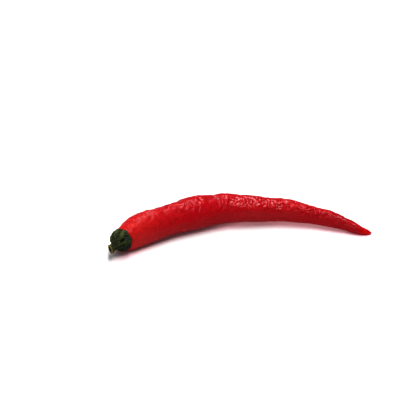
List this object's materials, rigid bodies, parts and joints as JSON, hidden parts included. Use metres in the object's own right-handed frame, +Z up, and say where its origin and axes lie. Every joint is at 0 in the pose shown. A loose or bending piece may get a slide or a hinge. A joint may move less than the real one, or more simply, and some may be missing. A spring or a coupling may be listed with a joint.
{
  "type": "red chilli pepper",
  "caption": "Long curved red chilli pepper lying on its side, with a crinkled tapering pod, an angular green calyx and a short drooping stem stub.",
  "frame": {"origin": "on the surface that the pepper lies on, under the middle of its bounding box", "axes": "+X from the stem end towards the tip, +Y towards the outer side of the pod's bow, +Z up"},
  "size_m": [0.125, 0.039, 0.0156],
  "materials": {
    "skin": "thin glossy fruit skin, finely crinkled across, deep red and brighter towards both ends",
    "calyx": "leathery dark green sepals with raised ribs, faintly waxy",
    "stem": "ribbed green stalk, dull, with a paler broken end"
  },
  "bodies": {
    "root": {"pod": "skin", "calyx": "calyx", "stem": "stem"}
  },
  "joints": []
}
